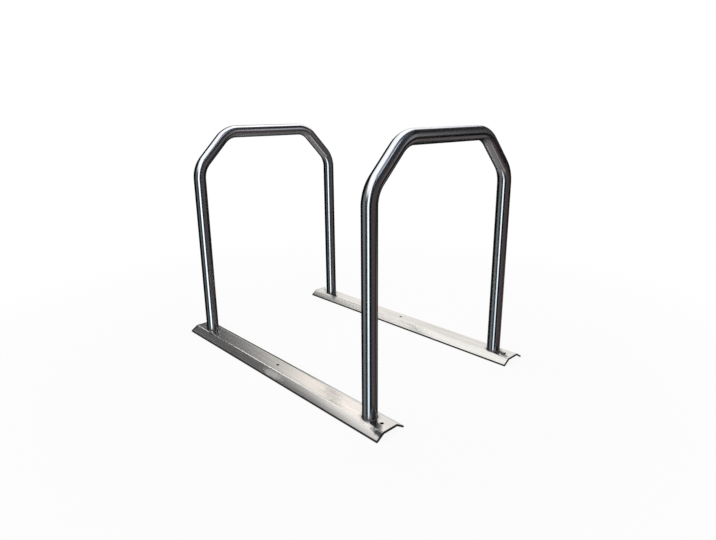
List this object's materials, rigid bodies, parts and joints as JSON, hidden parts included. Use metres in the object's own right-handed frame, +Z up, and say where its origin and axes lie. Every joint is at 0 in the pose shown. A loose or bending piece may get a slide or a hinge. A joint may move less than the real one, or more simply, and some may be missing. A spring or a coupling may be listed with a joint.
{
  "type": "hoop bike rack",
  "caption": "Two bent-tube hoops with sloping shoulders, welded across a pair of folded base rails with plain anchor holes.",
  "frame": {"origin": "on the ground, in the middle of the rack", "axes": "+X across the rack from the left rail to the right rail, +Y along the rails from the front hoop to the rear hoop, +Z up"},
  "size_m": [0.7932, 1.127, 0.8676],
  "materials": {
    "tube_steel": "dark polished stainless tube, lightly brushed along its length",
    "rail_steel": "pale satin stainless plate with grain along the rail",
    "weld_steel": "dull rippled weld bead, darker than the plate"
  },
  "bodies": {
    "root": {"base_rail_left": "rail_steel", "base_rail_right": "rail_steel", "hoop_front": "tube_steel", "hoop_rear": "tube_steel", "weld_front_left": "weld_steel", "weld_front_right": "weld_steel", "weld_rear_left": "weld_steel", "weld_rear_right": "weld_steel"}
  },
  "joints": []
}
